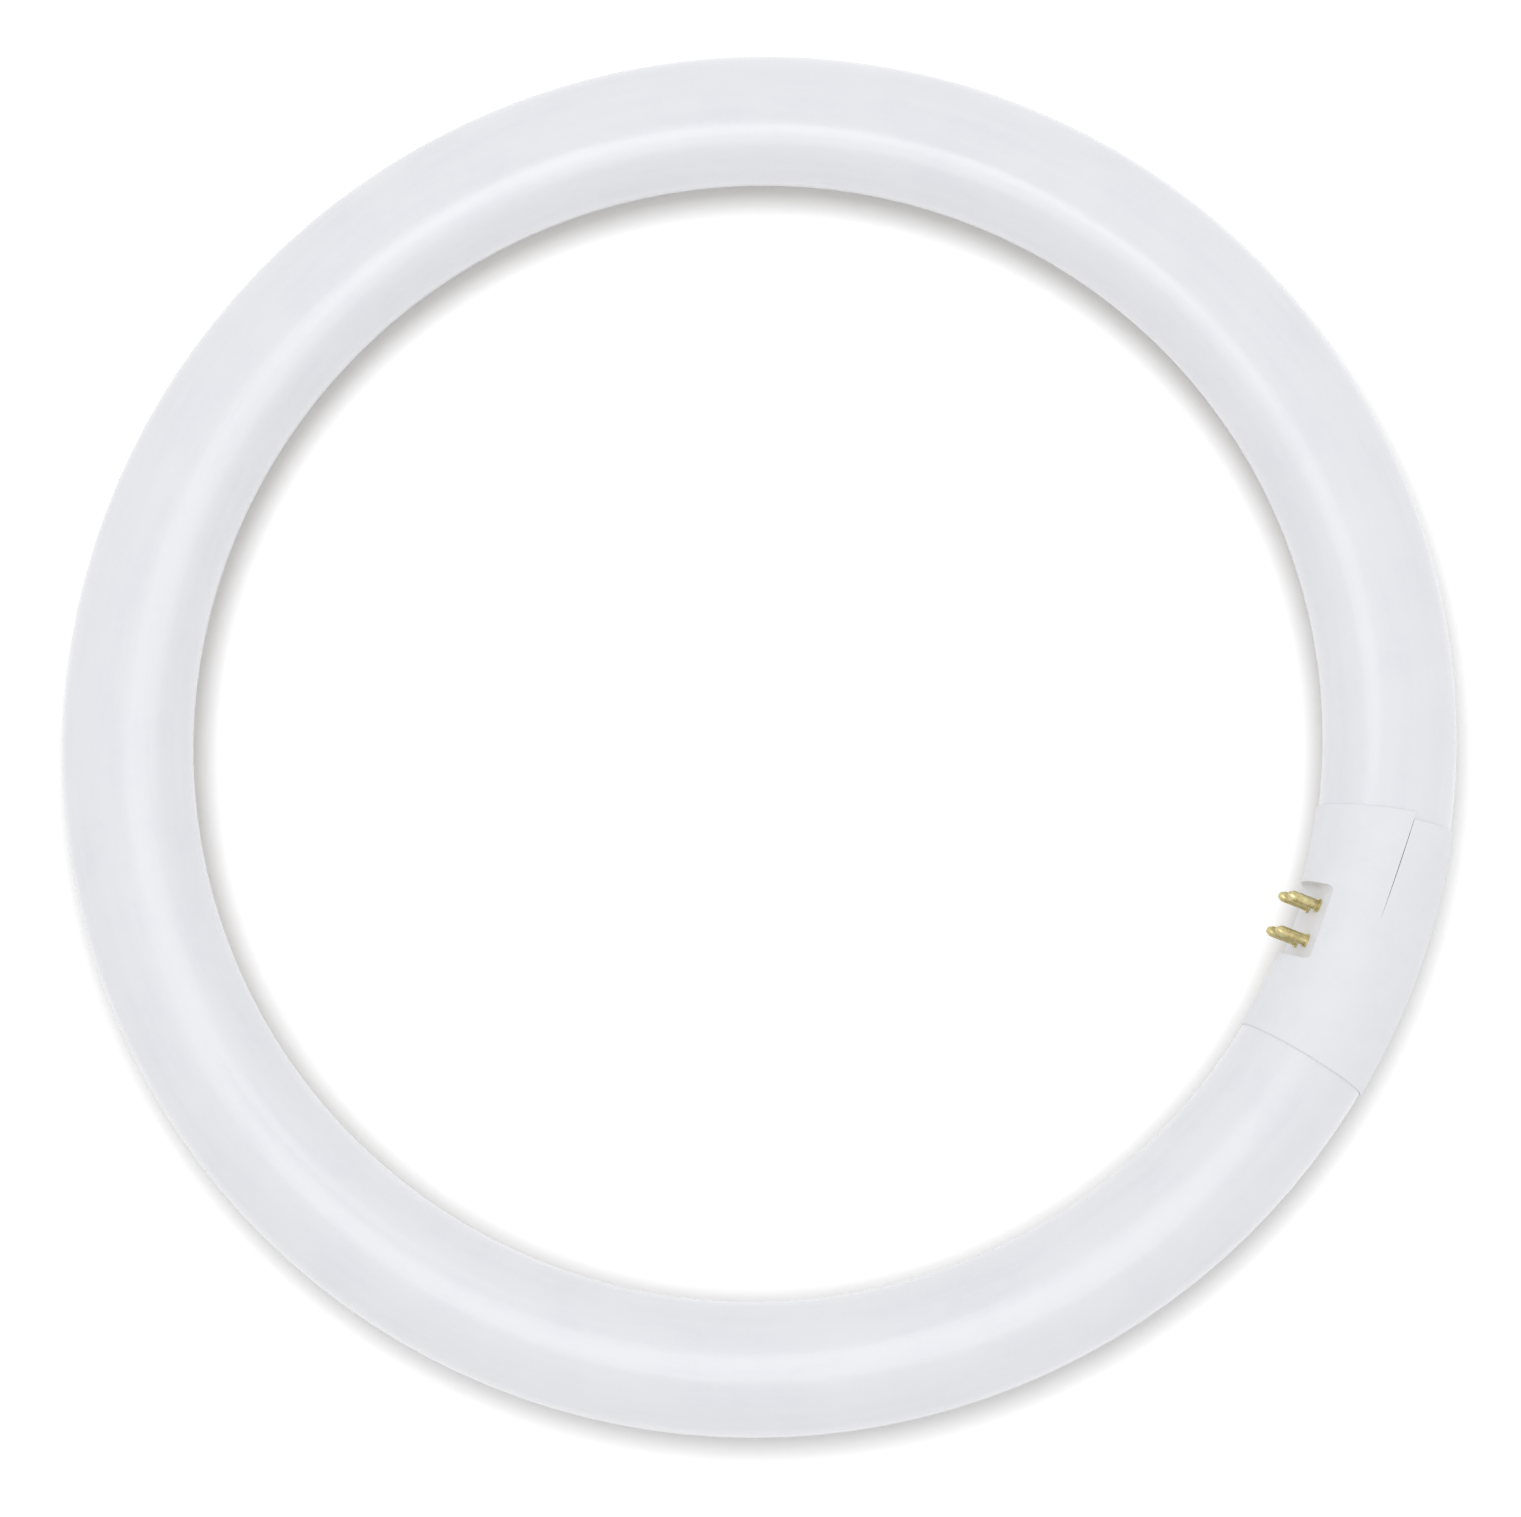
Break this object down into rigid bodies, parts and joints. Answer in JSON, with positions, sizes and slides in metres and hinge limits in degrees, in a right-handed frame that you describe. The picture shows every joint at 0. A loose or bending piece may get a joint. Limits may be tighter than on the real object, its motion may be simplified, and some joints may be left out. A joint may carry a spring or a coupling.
{
  "type": "circular fluorescent tube",
  "caption": "Ring-shaped fluorescent lamp: a white-coated glass tube closed by a moulded plastic base whose contact pins point to the ring's middle.",
  "frame": {"origin": "centre of the ring, on the plane of the tube's centre line", "axes": "+Z along the ring's axis and up as the lamp lies, on the side to which the pins lean; +X from the ring's centre to the middle of the base"},
  "size_m": [0.3052, 0.3048, 0.0294],
  "materials": {
    "coated_glass": "clear glossy glass over an opaque white coating",
    "white_plastic": "fine matte moulding",
    "pin_brass": "turned, slightly dull",
    "tinned_wire": "tinned"
  },
  "bodies": {
    "root": {"glass_tube": "coated_glass", "base_inner_shell": "white_plastic", "base_outer_shell": "white_plastic", "contact_pin_1": "pin_brass", "contact_pin_2": "pin_brass", "contact_pin_3": "pin_brass", "contact_pin_4": "pin_brass", "lead_wire_1": "tinned_wire", "lead_wire_2": "tinned_wire", "lead_wire_3": "tinned_wire", "lead_wire_4": "tinned_wire"}
  },
  "joints": []
}
